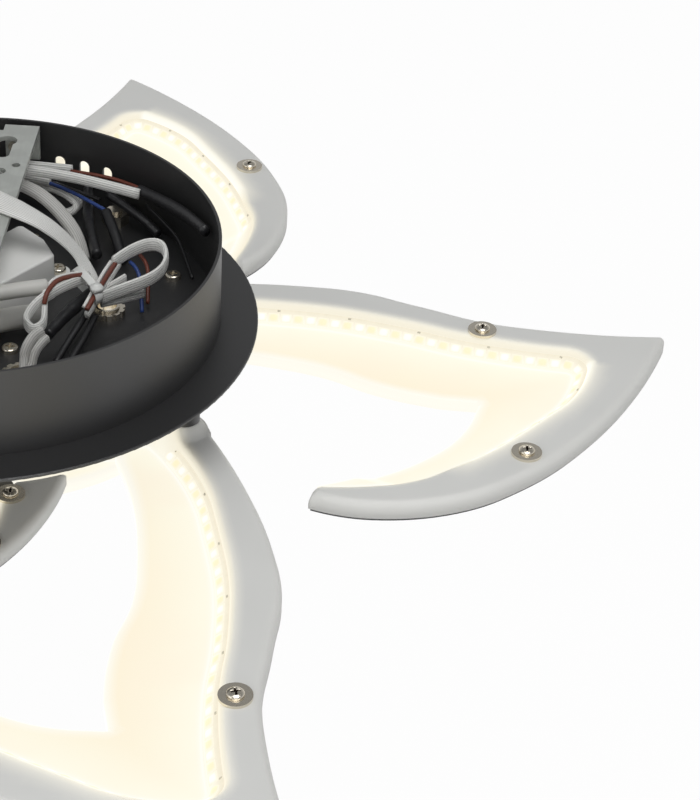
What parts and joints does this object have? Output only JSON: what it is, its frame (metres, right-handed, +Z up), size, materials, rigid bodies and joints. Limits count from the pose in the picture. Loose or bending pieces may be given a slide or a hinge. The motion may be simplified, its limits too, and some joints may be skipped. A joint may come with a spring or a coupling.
{
  "type": "semi-flush ceiling light",
  "caption": "Semi-flush ceiling light with hooked, edge-lit petals on short stems round a black pan canopy, and a small lit three-lobed rosette below.",
  "frame": {"origin": "middle of the canopy's open rim, on the ceiling and on top of the mounting strap", "axes": "+Z up, into the ceiling; Y along the mounting strap; X to the right, towards the petal numbered 1"},
  "size_m": [0.5612, 0.5478, 0.1309],
  "materials": {
    "black_paint": "matte black powder coat",
    "black_tube": "heat-shrunk tube",
    "black_wire": "insulated wire",
    "blue_wire": "insulated wire",
    "brown_wire": "insulated wire",
    "circuit_board": "circuit board with its components",
    "diffuser": "frosted translucent moulding",
    "driver_plastic": "light grey plastic",
    "galvanised": "zinc-plated sheet",
    "grey_braid": "woven grey sleeve",
    "light_strip": "white flexible strip, warm and cool light chips",
    "nickel": "nickel-plated",
    "tie_nylon": "natural nylon",
    "white_braid": "woven glass-fibre sleeve",
    "white_tube": "smooth soft tube"
  },
  "bodies": {
    "canopy": {"canopy_pan": "black_paint", "base_disc": "black_paint", "mounting_strap": "galvanised", "side_screws": "nickel", "disc_screws": "nickel", "driver_base": "driver_plastic", "driver_case": "driver_plastic", "driver_board": "circuit_board", "driver_screws": "nickel", "bushing_nipples": "nickel", "bushing_nuts": "nickel", "flat_sleeve": "white_braid", "grey_sleeves": "grey_braid", "white_sleeves": "white_braid", "white_tubes": "white_tube", "heat_shrinks": "black_tube", "dark_sleeves": "black_tube", "brown_wires": "brown_wire", "blue_wires": "blue_wire", "black_wires": "black_wire", "cable_tie": "tie_nylon", "stem_bolts": "nickel", "stem_spacers": "black_paint", "stem_nuts": "nickel", "rosette_post": "black_paint", "post_nut": "nickel", "post_screws": "nickel"},
    "petal_1": {"petal_diffuser_1": "diffuser", "petal_plate_1": "black_paint", "petal_led_strip_1": "light_strip", "petal_washers_1": "nickel", "petal_screws_1": "nickel"},
    "petal_2": {"petal_diffuser_2": "diffuser", "petal_plate_2": "black_paint", "petal_led_strip_2": "light_strip", "petal_washers_2": "nickel", "petal_screws_2": "nickel"},
    "petal_3": {"petal_diffuser_3": "diffuser", "petal_plate_3": "black_paint", "petal_led_strip_3": "light_strip", "petal_washers_3": "nickel", "petal_screws_3": "nickel"},
    "petal_4": {"petal_diffuser_4": "diffuser", "petal_plate_4": "black_paint", "petal_led_strip_4": "light_strip", "petal_washers_4": "nickel", "petal_screws_4": "nickel"},
    "petal_5": {"petal_diffuser_5": "diffuser", "petal_plate_5": "black_paint", "petal_led_strip_5": "light_strip", "petal_washers_5": "nickel", "petal_screws_5": "nickel"},
    "rosette": {"rosette_plate": "black_paint", "rosette_diffuser_1": "diffuser", "rosette_diffuser_2": "diffuser", "rosette_diffuser_3": "diffuser", "rosette_led_strips": "light_strip", "rosette_washers": "nickel", "rosette_screws": "nickel"}
  },
  "joints": [
    {"name": "petal_1_swivel", "type": "hinge", "parent": "canopy", "child": "petal_1", "pos_m": [0.0489, 0.0767, -0.0748], "axis": [0, 0, 1], "range_deg": [-2, 6]},
    {"name": "petal_2_swivel", "type": "hinge", "parent": "canopy", "child": "petal_2", "pos_m": [-0.05783, 0.07021, -0.0748], "axis": [0, 0, 1], "range_deg": [-0.3, 7.7]},
    {"name": "petal_3_swivel", "type": "hinge", "parent": "canopy", "child": "petal_3", "pos_m": [-0.08464, -0.03331, -0.0748], "axis": [0, 0, 1], "range_deg": [-2, 6]},
    {"name": "petal_4_swivel", "type": "hinge", "parent": "canopy", "child": "petal_4", "pos_m": [0.00552, -0.09079, -0.0748], "axis": [0, 0, 1], "range_deg": [-2, 6]},
    {"name": "petal_5_swivel", "type": "hinge", "parent": "canopy", "child": "petal_5", "pos_m": [0.08806, -0.0228, -0.0748], "axis": [0, 0, 1], "range_deg": [-0.2, 7.8]},
    {"name": "rosette_turn", "type": "hinge", "parent": "canopy", "child": "rosette", "pos_m": [0, 0, -0.1252], "axis": [0, 0, 1], "range_deg": [-90, 90]}
  ]
}
